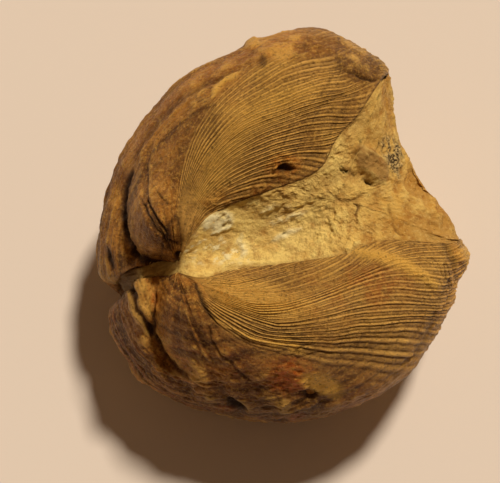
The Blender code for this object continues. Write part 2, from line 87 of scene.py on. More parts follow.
# Growth paths: rib number, points seen from the back, and bearings and reaches past the rim
RIGHT_REAR = 68.2
LEFT_REAR = 341.3
MARGIN_REACH = 1.58
STEP_GROWTH = 1.2
RIGHT_BEAK = (-23.1, -7.9)
RIGHT_PATHS = [
    (0, [(-20.6, -3.5), (-17.2, 0.9), (-12.8, 4.2)], []),
    (2, [(-20.9, -2.8), (-16.5, 3.4), (-10.6, 6.2), (-4.2, 7.3)], []),
    (4, [(-21.2, -2.2), (-16.4, 5.0), (-8.8, 9.6), (-1.8, 11.0), (4.0, 10.2)], []),
    (8, [(-21.5, -1.5), (-18.0, 5.5), (-12.7, 11.0), (-5.2, 14.8), (3.7, 17.2), (11.4, 18.5)], []),
    (14, [(-21.8, -0.8), (-19.4, 7.0), (-14.4, 14.6), (-6.2, 20.4), (5.9, 25.0), (18.0, 26.5)], []),
    (19, [(-22.1, -0.2), (-20.6, 8.5), (-16.1, 16.9), (-8.4, 24.4), (3.7, 29.7), (14.7, 32.1)],
     [(RIGHT_REAR, 0.98)]),
    (23, [(-22.4, 0.2), (-21.4, 9.5), (-17.4, 20.0), (-10.6, 27.7), (-0.7, 33.9), (10.3, 37.2)],
     [(77, 1.08), (RIGHT_REAR, 1.27)]),
    (26, [(-22.8, 0.4), (-22.4, 11.2), (-18.9, 21.6), (-12.8, 29.4), (-5.1, 35.6), (3.7, 39.8)],
     [(88, 1.1), (80, 1.35), (RIGHT_REAR, MARGIN_REACH)]),
    (29, [(-24.4, -0.9), (-25.3, 10.1), (-22.7, 21.1), (-17.2, 29.9), (-10.6, 36.1)],
     [(112, 1.1), (103, 1.35), (92, MARGIN_REACH)]),
    (32, [(-26.2, -2.0), (-28.8, 7.7), (-28.2, 16.7), (-24.9, 24.4), (-22.7, 31.0)], [(120, MARGIN_REACH)]),
    (35, [(-26.6, -5.5), (-31.5, 3.5), (-31.9, 11.2), (-31.5, 22.2)], [(155, MARGIN_REACH)]),
    (38, [(-26.5, -8.2), (-31.9, -5.9), (-38.5, -1.8)], [(180, MARGIN_REACH)]),
    (40, [(-26.5, -8.9), (-32.0, -8.9), (-36.5, -12.6)], [(201, MARGIN_REACH)]),
]
LEFT_BEAK = (-23.1, -10.2)
LEFT_PATHS = [
    (0, [(-18.3, -11.3), (-10.6, -9.2)], []),
    (4, [(-16.5, -12.2), (-9.5, -11.6), (3.7, -7.7)], []),
    (9, [(-16.2, -13.2), (-7.3, -14.1), (5.9, -10.8), (17.0, -4.6)], []),
    (14, [(-16.3, -14.2), (-7.3, -16.5), (10.3, -13.0), (27.0, -6.4)], [(LEFT_REAR, 0.98)]),
    (20, [(-16.7, -15.5), (-5.6, -19.6), (12.5, -16.3), (32.3, -14.1)],
     [(325, 1.0), (332, 1.12), (LEFT_REAR, 1.28)]),
    (23, [(-17.1, -16.2), (-6.2, -21.3), (11.4, -20.2), (31.2, -18.5)],
     [(317, 1.0), (322, 1.17), (330, 1.38), (LEFT_REAR, MARGIN_REACH)]),
    (26, [(-17.5, -16.9), (-7.5, -22.9), (10.3, -24.0), (30.1, -22.9)],
     [(307, 1.0), (311, 1.18), (317, 1.38), (325, MARGIN_REACH)]),
    (29, [(-18.3, -17.6), (-9.2, -24.8), (0.4, -27.6), (12.5, -29.9), (24.6, -31.7)],
     [(300, MARGIN_REACH)]),
    (32, [(-20.2, -18.5), (-12.8, -30.6), (-0.7, -37.2), (8.1, -42.2)], [(270, MARGIN_REACH)]),
    (35, [(-22.2, -17.5), (-20.5, -26.2), (-15.0, -36.1), (-11.7, -41.6)], [(248, MARGIN_REACH)]),
    (37, [(-24.0, -16.5), (-26.0, -25.1), (-24.9, -31.7), (-22.9, -38.5)], [(234, MARGIN_REACH)]),
    (39, [(-25.4, -14.8), (-29.3, -20.7), (-32.6, -26.2), (-36.3, -24.0)], [(218, MARGIN_REACH)]),
    (41, [(-26.0, -10.7), (-31.0, -11.3), (-34.6, -14.8)], [(204.2, MARGIN_REACH)]),
]


def smooth_curve(knots, values, at):
    """Cubic curve through the values at the knots, each tangent the slope across its neighbours."""
    knots = np.asarray(knots, float)
    values = np.asarray(values, float)
    flat = values.reshape(len(knots), -1)
    tangents = np.gradient(flat, knots, axis=0)
    at = np.clip(np.asarray(at, float), knots[0], knots[-1])
    i = np.clip(np.searchsorted(knots, at, side="right") - 1, 0, len(knots) - 2)
    span = (knots[i + 1] - knots[i])[..., None]
    u = (at - knots[i])[..., None] / span
    bent = (
        flat[i] * (2 * u**3 - 3 * u**2 + 1)
        + tangents[i] * span * (u**3 - 2 * u**2 + u)
        + flat[i + 1] * (3 * u**2 - 2 * u**3)
        + tangents[i + 1] * span * (u**3 - u**2)
    )
    return bent.reshape(at.shape + values.shape[1:])


def ease(low, high, value):
    """0 up to low, 1 from high on, and the S-curve 3u^2 - 2u^3 between them."""
    u = np.clip((value - low) / (high - low), 0, 1)
    return u * u * (3 - 2 * u)


def bell(distance, width):
    """exp of minus half the squared distance in widths."""
    return np.exp(-((distance / width) ** 2) / 2)


def evenly(path, count, growth=1.0):
    """Smooth curve through the points, resampled at steps that are even or grow along it."""
    path = np.asarray(path, float)
    lengths = np.concatenate([[0], np.cumsum(np.linalg.norm(np.diff(path, axis=0), axis=1))])
    return smooth_curve(lengths, path, lengths[-1] * np.linspace(0, 1, count) ** growth)


def along(path, points, pieces=24):
    """Distance of the points from a path, and their share of the way along it."""
    line = evenly(path, pieces) if pieces else np.asarray(path, float)
    start, step = line[:-1], np.diff(line, axis=0)
    offset = points[:, None, :] - start[None]
    share = np.clip((offset * step).sum(2) / (step * step).sum(1), 0, 1)
    gaps = np.linalg.norm(offset - share[..., None] * step, axis=2)
    nearest = gaps.argmin(1)
    rows = np.arange(len(points))
    return gaps[rows, nearest], (nearest + share[rows, nearest]) / len(step)


def outline_radius(bearing):
    """Distance of the rim from the back pole, from the periodic curve through OUTLINE."""
    bearings, radii = np.array(OUTLINE, float).T
    bearings = np.concatenate([bearings[-3:] - 360, bearings, bearings[:3] + 360])
    radii = np.concatenate([radii[-3:], radii, radii[:3]])
    return smooth_curve(bearings, radii, np.asarray(bearing) % 360)


def ring_radius(bearing, reach):
    """The outline at the rim, easing into an off-centre circle towards the two poles."""
    turn = np.radians(bearing - 215)
    circle = 20 * np.cos(turn) + np.sqrt(39**2 - (20 * np.sin(turn)) ** 2)
    share = ease(0.15, 0.85, np.minimum(reach, 2 - reach))
    notch = NOTCH_DEPTH * bell(bearing - NOTCH_BEARING, NOTCH_WIDTH)
    notch = notch * ease(0.6, 1, 1 - abs(reach - 1))
    return circle * (1 - share) + outline_radius(bearing) * share - notch


def chart(bearing, reach):
    """Flat map of the surface: the reach laid off along the bearing."""
    angle = np.radians(bearing)
    return np.stack([reach * np.cos(angle), reach * np.sin(angle)], -1)


def unchart(q):
    """Bearing and reach of places on the flat map."""
    reach = np.minimum(np.linalg.norm(q, axis=-1), 1.999)
    return np.degrees(np.arctan2(q[..., 1], q[..., 0])) % 360, reach


def seen_at(points):
    """Map places that show at points of the view from the back, found by halving the reach."""
    offset = np.asarray(points, float) - BACK_POLE
    distance = np.linalg.norm(offset, axis=1)
    bearing = np.degrees(np.arctan2(offset[:, 1], offset[:, 0])) % 360
    low, high = np.zeros(len(offset)), np.ones(len(offset))
    for _ in range(30):
        middle = (low + high) / 2
        inside = np.sin(middle * np.pi / 2) * ring_radius(bearing, middle) < distance
        low, high = np.where(inside, middle, low), np.where(inside, high, middle)
    return chart(bearing, low)


def seen_from_back(q):
    """Where map places show from the back: back pole plus the rim's arm times sin(reach x 90 deg)."""
    bearing, reach = unchart(q)
    angle = np.radians(bearing)
    away = np.stack([np.cos(angle), np.sin(angle)], -1)
    return BACK_POLE + away * (ring_radius(bearing, reach) * np.sin(reach * np.pi / 2))[:, None]


def top_lift(gap, share, rise, high, loss, width):
    """A ridge that loses some of its height along its path and fades at the rim."""
    return (high - loss * share) * bell(gap, width) * ease(0.0, 0.4, rise)


def surface(q, hidden=0):
    """The clam's outside with no ribs, in mm: a dome over the rim on the back side, with two
    crests, a valley, the umbos, the grooves and a knob added to its height, and on the belly
    side an arm from the belly's middle to the rim that shortens as the sine and sinks as the
    cosine. Each point is drawn in to the view's axis by its height over the view's height.
    The hidden lining has grooves twice as wide and no knob.
    """
    spread = 1 + hidden
    bearing, reach = unchart(q)
    angle = np.radians(bearing)
    across = np.sin(reach * np.pi / 2)
    rise = np.abs(np.cos(reach * np.pi / 2))
    away = np.stack([np.cos(angle), np.sin(angle)], -1)
    rim = BACK_POLE + away * ring_radius(bearing, reach)[:, None]
    from_front = (bearing - 200 + 180) % 360 - 180
    from_rear = (bearing - 22 + 180) % 360 - 180
    from_below = (bearing - 275 + 180) % 360 - 180
    drop = FRONT_RIM_DROP * bell(from_front, 38) + REAR_RIM_DROP * bell(from_rear, 30)

    plan = BACK_POLE * (1 - across)[:, None] + rim * across[:, None]
    boxy = 1 - 0.55 * bell(from_rear, 32) - 0.35 * bell(from_below, 40)
    height = BACK_HEIGHT * (1 - LEAN * across * np.cos(angle)) * rise**boxy
    for crest, high, loss in ((RIGHT_CREST, 6.5, 2.5), (LEFT_CREST, 5.5, 1.5)):
        height += top_lift(*along(crest, plan), rise, high, loss, 7.5)
    gap, share = along(VALLEY, plan)
    height -= top_lift(gap, share, rise, 7.5, 2.2, 5.0 + 7.0 * share)
    for umbo, high, width in ((RIGHT_UMBO, 5.5, 5.0), (LEFT_UMBO, 3.5, 4.5)):
        height += top_lift(np.linalg.norm(plan - umbo, axis=1), 0, rise, high, 0, width)
    gap, share = along(UPPER_GROOVE, plan)
    height -= 5.0 * bell(gap, 1.7 * spread) * ease(0, 0.3, share)
    gap, share = along(LOWER_GROOVE, plan)
    height -= 4.0 * bell(gap, 1.6 * spread) * ease(1, 0.6, share)
    gap, share = along(KNOB, plan)
    height += 2.5 * bell(gap, 1.5) * (hidden == 0)
    above = np.column_stack([plan, height - drop * across**2])

    middle = np.append(BELLY_POLE, 0.0)
    arm = np.column_stack([rim, -drop]) - middle
    lifted = arm @ UP
    level = arm - lifted[:, None] * UP
    fall = lifted - (BELLY_DEPTH + lifted) * rise
    below = middle + level * across[:, None] + fall[:, None] * UP

    point = np.where((reach < 1)[:, None], above, below)
    tall = np.maximum(point[:, 2], -12.0)
    point[:, :2] = VIEW_AXIS + (point[:, :2] - VIEW_AXIS) * (1 - tall / VIEW_HEIGHT)[:, None]
    return point


def outward(q, step=0.02, hidden=0):
    """Unit vectors out of the surface: the cross product of the slopes along two map directions."""
    across = surface(q + [step, 0], hidden) - surface(q - [step, 0], hidden)
    beside = surface(q + [0, step], hidden) - surface(q - [0, step], hidden)
    normal = np.cross(across, beside)
    return normal / np.linalg.norm(normal, axis=1)[:, None]


def noise(points, size, seed=0):
    """Smooth noise from -1 to 1: hashed numbers on a lattice of the given cell size in mm,
    blended between the eight corners of each cell with an S-curve.
    """
    place = points / size + 1000.0
    cell = np.floor(place).astype(np.int64)
    u = place - cell
    u = u * u * (3 - 2 * u)
    total = np.zeros(len(points))
    for corner in np.ndindex((2,) * points.shape[1]):
        at = cell + corner
        mixed = at @ np.array([73856093, 19349663, 83492791])[: points.shape[1]] + seed * 2654435761
        mixed = (mixed ^ (mixed >> 15)) * 2246822519 & 0xFFFFFFFF
        mixed = (mixed ^ (mixed >> 13)) * 3266489917 & 0xFFFFFFFF
        weight = np.where(np.array(corner) == 1, u, 1 - u).prod(1)
        total += weight * (((mixed >> 7) & 0xFFFFFF) / 0x7FFFFF - 1)
    return total


def shaken(plan, points, most, size, seed):
    """Places of the view from the back, each moved both ways by smooth noise up to the most in mm."""
    return plan + most * np.column_stack([noise(points, size, seed), noise(points, size, seed + 1)])


def rough(points, size, seed=0, layers=4, fall=0.5):
    """Sum of noise layers, each half the size of the one before and weaker by the fall."""
    return sum(fall**i * noise(points, size / 2**i, seed + i) for i in range(layers))


def terraces(value, sharp=0.25):
    """A slope broken into level steps one unit high, each riser the given share of a step wide."""
    return np.floor(value) + ease(1 - sharp, 1, value - np.floor(value))


def drawn(first, second, seed):
    """Smooth noise over two coordinates of the shell, so drawn out along its ribs or its growth."""
    return noise(np.column_stack([first, second]), 1.0, seed)


def line_mark(plan, line, width, taper=0.6, pieces=0):
    """1 on a line of the view from the back, a bell of the width beside it, thinner at its ends."""
    line = np.asarray(line, float)
    mark = np.zeros(len(plan))
    near = ((plan > line.min(0) - 4 * width) & (plan < line.max(0) + 4 * width)).all(1)
    if near.any():
        gap, share = along(line, plan[near], pieces)
        slim = 1 - taper + taper * np.sqrt(np.sin(np.pi * np.clip(share, 0.02, 0.98)))
        mark[near] = bell(gap, width * slim) * slim
    return mark


def patch_mark(plan, middle, radii, turn=0.0, edge=0.35):
    """1 inside a turned ellipse of the view from the back and 0 outside it, with a soft edge."""
    turn = math.radians(turn)
    offset = plan - middle
    long = (offset[:, 0] * math.cos(turn) + offset[:, 1] * math.sin(turn)) / radii[0]
    wide = (offset[:, 1] * math.cos(turn) - offset[:, 0] * math.sin(turn)) / radii[1]
    return ease(1 + edge, 1 - edge, np.hypot(long, wide))


def marker(plan, top):
    """The line mark and the patch mark for one set of places, each times the share of the top."""
    def stroke(line, width, taper=0.6, pieces=0):
        return line_mark(plan, line, width, taper, pieces) * top

    def patch(middle, radii, turn=0.0, edge=0.35):
        return patch_mark(plan, middle, radii, turn, edge) * top

    return stroke, patch


def path_places(beak, paths, steps):
    """Rib number of each growth path, and its map places at growing steps from the beak."""
    places = []
    for _, points, end in paths:
        q = seen_at([beak] + points)
        if end:
            q = np.vstack([q, chart(*np.array(end).T)])
        places.append(evenly(q, steps + 1, STEP_GROWTH))
    return [number for number, _, _ in paths], np.array(places)


def valve_border(beak, paths):
    """Map places around a valve: its first path, the ends of all its paths, its last path back."""
    numbers, places = path_places(beak, paths, 60)
    ends = smooth_curve(numbers, places[:, -1], np.linspace(0, numbers[-1], 420))
    return np.vstack([places[0], ends[1:], places[-1][-2::-1]])


def inside(q, border):
    """Whether map places lie inside a closed border, by counting the sides that each passes under."""
    (x, y), (x0, y0), (x1, y1) = q.T[:, :, None], border.T, np.roll(border, -1, 0).T
    crosses = (y0 > y) != (y1 > y)
    slope = (x1 - x0) / np.where(y1 == y0, 1e-12, y1 - y0)
    return (crosses & (x < x0 + (y - y0) * slope)).sum(1) % 2 == 1


def border_distance(points, border, block=4000):
    """Least distance in mm from each point to a line of border points, in blocks of points."""
    gaps = [
        np.sqrt(((points[i:i + block, None] - border) ** 2).sum(2).min(1))
        for i in range(0, len(points), block)
    ]
    return np.concatenate(gaps)


def lie_down(points):
    """Turned by the lying angle about X and set down on the flat, from mm to metres."""
    lie = math.radians(LIE_ANGLE)
    turn = np.array([[1, 0, 0], [0, math.cos(lie), -math.sin(lie)], [0, math.sin(lie), math.cos(lie)]])
    return (points - REST_POINT) @ turn.T * 0.001


def new_piece(name, points, faces, marks, material):
    """A smooth-shaded mesh object at the origin from points in the clam's frame. Each mark is kept
    as one number for each point.
    """
    mesh = bpy.data.meshes.new(name)
    mesh.from_pydata(lie_down(points).tolist(), [], faces)
    mesh.shade_smooth()
    for mark, values in marks.items():
        mesh.attributes.new(mark, "FLOAT", "POINT").data.foreach_set("value", values.astype(np.float32))
    mesh.materials.append(material)
    piece = bpy.data.objects.new(name, mesh)
    bpy.context.scene.collection.objects.link(piece)
    return piece


def node(tree, kind, settings=None, **inputs):
    """A shader node with its settings, and its inputs set to values or joined to other outputs."""
    made = tree.nodes.new("ShaderNode" + kind)
    for key, value in (settings or {}).items():
        setattr(made, key, value)
    for key, value in inputs.items():
        socket = made.inputs[int(key[1:])] if key[0] == "_" else made.inputs[key]
        if isinstance(value, bpy.types.NodeSocket):
            tree.links.new(value, socket)
        else:
            socket.default_value = value
    return made


def blend_colours(tree, share, first, second):
    """First colour mixed with the second by the share."""
    return node(tree, "Mix", {"data_type": "RGBA"}, _0=share, _6=first, _7=second).outputs[2]


def tinted(tree, base, layers):
    """The base colour with each layer's colour mixed in by the layer's share, one after another."""
    for share, tint in layers:
        base = blend_colours(tree, share, base, tint)
    return base


def attribute(tree, name):
    """One of the numbers kept at the mesh's points."""
    return node(tree, "Attribute", {"attribute_name": name}).outputs["Fac"]


def spots(tree, size, low, high, detail=4.0, roughness=0.6):
    """Noise on the object's coordinates, cells of the size in mm, drawn out between low and high."""
    where = node(tree, "TexCoord").outputs["Object"]
    made = node(tree, "TexNoise", Vector=where, Scale=1000 / size, Detail=detail, Roughness=roughness)
    ramp = node(tree, "MapRange", _0=made.outputs[0], _1=low, _2=high)
    return ramp.outputs[0]


def times(tree, first, second):
    """Two numbers multiplied."""
    return node(tree, "Math", {"operation": "MULTIPLY"}, _0=first, _1=second).outputs[0]


def new_material(name):
    """A material with its node tree and its shader."""
    material = bpy.data.materials.new(name)
    material.use_nodes = True
    return material, material.node_tree, material.node_tree.nodes["Principled BSDF"]


def finish(tree, shader, base, shine, gloss, grain):
    """Joins the shader to its colour, its shine, a roughness in patches (their size in mm, dullest,
    glossiest) and a fine bump (its strength, depth in metres, size in mm and noise roughness).
    """
    tree.links.new(base, shader.inputs["Base Color"])
    shader.inputs["Specular IOR Level"].default_value = shine
    size, dull, glossy = gloss
    patches = node(tree, "MapRange", _0=spots(tree, size, 0.3, 0.7), _3=dull, _4=glossy)
    tree.links.new(patches.outputs[0], shader.inputs["Roughness"])
    strength, depth, size, roughness = grain
    height = spots(tree, size, 0.2, 0.8, 5.0, roughness)
    bump = node(tree, "Bump", Strength=strength, Distance=depth, Height=height)
    tree.links.new(bump.outputs[0], shader.inputs["Normal"])


def colour(*screen):
    """Screen colour from 0 to 255 as the linear one that a shader takes."""
    return tuple(((c / 255 + 0.055) / 1.055) ** 2.4 for c in screen) + (1.0,)


# Spokes of the stone's grid: first and last bearing and count. Columns: bare, under shell, belly.
# The grid's last reach, and how deep in mm the stone lies sunk under a valve
SPOKES = [(68.5, 196, 230), (196, 207, 40), (207, 341, 215), (341, 428.5, 155)]
COLUMNS = (80, 30, 24)
LAST_REACH = 1.985
SUNK_DEPTH = 3.2

# Marks of the bare stone, as points seen from the back in mm
STREAKS = [
    [(-4.0, -0.2), (-0.7, 1.1), (2.6, 2.2), (5.3, 2.9)],
    [(-2.4, -3.1), (0.4, -2.0), (3.7, -0.7)],
    [(-4.6, 2.6), (-1.8, 3.5), (1.5, 4.2)],
]
VEIN = [(-7.9, -1.1), (-9.2, -3.1), (-8.6, -5.3), (-9.5, -7.7)]
SCAR = [(9.5, 8.8), (10.3, 7.0), (12.1, 5.9), (14.5, 5.7), (16.3, 6.2), (17.4, 7.5)]
STONE_CRACKS = [
    [(16.1, 6.4), (16.5, 4.6), (15.8, 2.9), (16.1, 0.9)],
    [(23.1, 4.6), (23.8, 2.6), (24.6, 0.4), (25.7, -1.5)],
    [(13.4, 13.4), (14.7, 11.9), (16.5, 11.0), (18.3, 10.1), (19.4, 9.5)],
    [(20.5, 16.7), (21.3, 18.3), (20.9, 20.0)],
]
HOLE = [(13.0, 12.8), (14.1, 11.9), (15.0, 12.1)]
SMALL_HOLE = [(17.8, 10.1), (18.9, 9.7), (19.4, 9.0)]


def stone_grid():
    """Map places of the stone: spokes about the back pole, with close columns where it is bare."""
    borders = [valve_border(RIGHT_BEAK, RIGHT_PATHS), valve_border(LEFT_BEAK, LEFT_PATHS)]
    right, left = borders[0][:480], borders[1][:480]
    at, reach = unchart(np.vstack([right[::-1], left]))
    keep = (reach < 0.97) & ((at > RIGHT_REAR) & (at < LEFT_REAR))
    at, reach = at[keep], reach[keep]
    order = np.argsort(at)
    at, reach = at[order], reach[order]
    bearing = np.concatenate([np.linspace(*run, endpoint=False) for run in SPOKES])
    around = bearing % 360
    edge = np.interp(around, at, reach)
    behind = (around < RIGHT_REAR + 0.5) | (around > LEFT_REAR - 0.5)
    edge = np.where(behind, 1.12, edge + 0.02)
    margin = np.where(behind, MARGIN_REACH, MARGIN_REACH - 0.02)
    bare, under_shell, low = (np.linspace(0, 1, count + 1)[1:] for count in COLUMNS)
    near = edge[:, None] * bare
    under = edge[:, None] + (margin - edge)[:, None] * under_shell
    belly = margin[:, None] + (LAST_REACH - margin)[:, None] * low
    reaches = np.hstack([near, under, belly])
    return chart(bearing[:, None], reaches), borders


def stone_relief(q, plan, points, seam, top):
    """Height in mm over the smooth stone: lumps, grain, ridges and cracks, and a crease at the valves."""
    wobble = shaken(shaken(plan, points, 0.3, 1.2, 5), points, 0.6, 3.0, 7)
    stroke, patch = marker(wobble, top)
    broken = ease(-0.3, 0.4, noise(points, 9.0, 29))
    ledges = 0.42 * terraces(1.5 * rough(points, 8.0, 27, 4) + 0.2 * rough(points, 1.0, 26, 3), 0.14)
    chips = 0.2 * terraces(1.8 * rough(points, 3.0, 28, 4), 0.18)
    lumps = 0.55 * rough(points, 9.0, 11, 3) + (0.06 + 0.08 * broken) * rough(points, 1.0, 17, 3, 0.7)
    near_seam = ease(0.9, 0.0, seam)
    relief = lumps + ledges * (0.35 + 0.65 * broken) + chips * (0.4 + 0.6 * broken)
    relief *= 1 - 0.75 * near_seam
    pits = ease(0.3, 0.65, rough(points, 1.8, 36, 4)) * (1 - 0.6 * near_seam)
    relief -= 0.08 + 0.2 * bell(seam, 0.2) + 0.2 * pits
    ragged = ease(-0.5, 0.0, rough(points, 1.8, 9, 3))
    calcite = patch((-14.1, 0.7), (3.5, 2.2), 12, 0.2) * (0.25 + 0.75 * ragged)
    grey = patch((-13.6, -3.3), (3.0, 2.1), 0)
    fibrous = patch((19.1, 13.9), (4.2, 2.5), -48)
    crystals = patch((24.0, 15.0), (5.0, 2.0), -74)
    relief = relief * (1 - 0.85 * calcite) + calcite * (0.45 + 0.1 * np.abs(noise(points, 1.3, 21)))
    relief += grey * 0.2
    relief += crystals * 0.4 * np.abs(rough(points, 0.9, 23, 3))
    across = plan @ np.array([0.64, 0.77]) + 0.25 * noise(points, 3.0, 24)
    fibres = drawn(across * 2.0, plan @ np.array([0.77, -0.64]) * 0.3, 25)
    tufts = 1.3 + 0.5 * fibres + 0.4 * rough(points, 2.5, 22, 3)
    relief = relief * (1 - 0.5 * fibrous) + fibrous * tufts
    streaks = np.zeros(len(plan))
    for line in STREAKS:
        streaks = np.maximum(streaks, stroke(line, 0.5) * ragged)
    vein = stroke(VEIN, 0.5) * ragged
    relief += 0.4 * streaks + 0.3 * vein
    cracks = 0.6 * stroke(SCAR, 0.3)
    parts = ease(-0.6, 0.2, noise(points, 2.0, 33))
    for line in STONE_CRACKS:
        cracks = np.maximum(cracks, stroke(line, 0.2) * parts)
    holes = np.maximum(stroke(HOLE, 0.34), stroke(SMALL_HOLE, 0.2))
    holes = holes * ease(-0.9, 0.0, rough(points, 0.9, 31, 3))
    relief -= 0.5 * cracks + holes
    ledge = patch((13.4, 7.3), (4.2, 1.9), 10, 0.4)
    relief += 0.5 * ledge
    # The stone strip in the front notch gets rough steps, and its brown and dark marks paint the shadow
    # that lies there.
    front = ease(-29.5, -31.5, plan[:, 0]) * ease(0.6, 0.7, unchart(q)[1])
    relief += front * 0.7 * terraces(1.5 * rough(points, 2.5, 34, 4), 0.2)
    rear = ease(2.0, 26.0, plan[:, 0])
    speckle = 0.8 * patch((-16.5, -5.3), (9.0, 3.0), -10, 0.5)
    speckle = speckle * ease(0.2, 0.5, rough(points, 0.9, 19, 3))
    patches = rough(points, 4.0, 32, 4)
    # Colour marks. low: painted shade in the hollows and pits of the relief, and darker random patches.
    # high: a painted highlight on the raised relief, and painted light that makes the bare stone paler away
    # from the rear, where it lies in shade. pale: calcite, streaks, vein and speckle. grey: the crystals.
    # brown: the fibrous lump and grey patch, a painted shade along the seam with the valves, a browner rear
    # and the painted shadow of the front strip. dark: painted shade in the cracks and holes, and the
    # painted shadow of the front strip.
    marks = {
        "low": ease(0.0, -0.7, relief) + 0.5 * ease(0.1, 0.6, -patches) + 0.35 * pits,
        "high": ease(0.1, 0.6, relief) + (1 - rear) * (0.8 + 0.5 * patches) * top,
        "pale": calcite + 0.7 * streaks + 0.6 * vein + speckle,
        "grey": crystals * ease(-0.6, -0.1, rough(points, 1.8, 30, 3)),
        "brown": fibrous * (1.3 - 0.9 * fibres) + 0.45 * grey + 0.35 * bell(seam, 0.4)
        + 0.25 * rear + front,
        "dark": 0.7 * cracks + 0.9 * holes + 0.6 * front,
    }
    return relief, {name: np.clip(mark, 0, 1) for name, mark in marks.items()}


def stone_material():
    """Ochre lime stone: warm and pale patches, white calcite, grey grains and the brown fibrous lump, with
    painted shade in hollows, cracks, holes and along the seam, a painted shadow in the front strip and
    painted highlights on raised and front parts.
    """
    material, tree, shader = new_material("ochre_stone")
    base = blend_colours(tree, spots(tree, 7.0, 0.35, 0.65), colour(232, 188, 94), colour(250, 220, 130))
    grains = blend_colours(tree, spots(tree, 0.5, 0.4, 0.6, 2.0), colour(66, 50, 30), colour(214, 188, 128))
    # The low colour is partly painted shade, the high colour partly a painted highlight and painted light,
    # and the brown and dark colours partly painted shade and painted shadow.
    base = tinted(tree, base, [
        (times(tree, attribute(tree, "low"), 0.55), colour(172, 118, 48)),
        (times(tree, attribute(tree, "high"), 0.65), colour(255, 236, 152)),
        (times(tree, spots(tree, 2.2, 0.5, 0.68), 0.6), colour(166, 112, 44)),
        (times(tree, spots(tree, 0.8, 0.54, 0.7), 0.5), colour(252, 228, 150)),
        (times(tree, attribute(tree, "brown"), 0.7), colour(134, 78, 24)),
        (times(tree, attribute(tree, "pale"), spots(tree, 1.0, 0.2, 0.45)), colour(255, 250, 206)),
        (attribute(tree, "grey"), grains),
        (times(tree, spots(tree, 0.45, 0.66, 0.74, 2.0), 0.6), colour(70, 46, 24)),
        (times(tree, attribute(tree, "dark"), 0.9), colour(54, 31, 11)),
    ])
    finish(tree, shader, base, 0.18, (1.5, 0.66, 0.42), (0.9, 0.0004, 0.7, 0.7))
    return material


stone_q, valve_borders = stone_grid()
spokes, columns = stone_q.shape[:2]
flat_q = stone_q.reshape(-1, 2)
stone_plain = surface(flat_q)
stone_out = outward(flat_q)
border_points = np.vstack([surface(border) for border in valve_borders])
seam_gap = border_distance(stone_plain, border_points)
covered = inside(flat_q, valve_borders[0]) | inside(flat_q, valve_borders[1])
on_top = ease(1.06, 0.99, unchart(flat_q)[1])
relief, stone_marks = stone_relief(flat_q, seen_from_back(flat_q), stone_plain, seam_gap, on_top)
sunk = SUNK_DEPTH * ease(0.35, 1.1, seam_gap) * covered
stone_points = stone_plain + stone_out * (relief - sunk)[:, None]
floor_level = REST_POINT @ UP
below = np.minimum(stone_points @ UP - floor_level, 0)
stone_points = stone_points - below[:, None] * UP
pole_top = surface(np.array([[1e-6, 0.0]]))
belly_middle = np.append(BELLY_POLE, 0.0)
pole_low = belly_middle + (floor_level - belly_middle @ UP) * UP
stone_points = np.vstack([pole_top, stone_points, pole_low])
ids = 1 + np.arange(spokes * columns).reshape(spokes, columns)
after = np.roll(ids, -1, 0)
quads = np.stack([ids[:, :-1], ids[:, 1:], after[:, 1:], after[:, :-1]], -1).reshape(-1, 4)
top_cap = np.stack([0 * ids[:, 0], ids[:, 0], after[:, 0]], -1)
low_cap = np.stack([0 * ids[:, 0] + len(stone_points) - 1, after[:, -1], ids[:, -1]], -1)
stone_faces = quads.tolist() + top_cap.tolist() + low_cap.tolist()
stone_marks = {name: np.concatenate([[0], values, [0]]) for name, values in stone_marks.items()}
stone = new_piece("ochre_stone", stone_points, stone_faces, stone_marks, stone_material())
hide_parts("matrix")
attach(stone, "root")


# The right valve
# The upper shell in the view from the back, of brown calcite, thin and curved over the stone.
# About 28 ribs run from its beak to the rear edge; its front half is smooth but for growth lines.

SHELL = 1.5
VALVE_STEPS = 240
VALVE_ROWS = 381
ROWS_PER_RIB = 9
LINING = 5


def valve_places(beak, paths, steps, rows):
    """Map places of a valve, one row for each rib number, straight near the beak."""
    numbers, places = path_places(beak, paths, steps)
    grid = smooth_curve(numbers, places, rows)
    straight = round(0.2 * steps)
    share = (np.arange(straight + 1) / straight) ** STEP_GROWTH
    grid[:, :straight + 1] = grid[:, :1] + share[:, None] * (grid[:, straight:straight + 1] - grid[:, :1])
    return grid


def rib_numbers(ribbed, last):
    """Rib numbers of the rows: as many rows to each rib as named, and the rest spread out."""
    fine = (ribbed + 1) * ROWS_PER_RIB
    close = np.linspace(0, ribbed + 1, fine, endpoint=False)
    return np.concatenate([close, np.linspace(ribbed + 1, last, VALVE_ROWS - fine)])


def fan_faces(rows, steps, first):
    """Corner numbers of a grid whose rows all start at one point: a ring of triangles, then quads."""
    ids = first + 1 + np.arange(rows * steps).reshape(rows, steps)
    quads = np.stack([ids[:-1, :-1], ids[:-1, 1:], ids[1:, 1:], ids[1:, :-1]], -1).reshape(-1, 4)
    tips = np.stack([np.full(rows - 1, first), ids[:-1, 0], ids[1:, 0]], -1)
    border = np.concatenate([[first], ids[0], ids[1:, -1], ids[-1, -2::-1]])
    return quads, tips, border


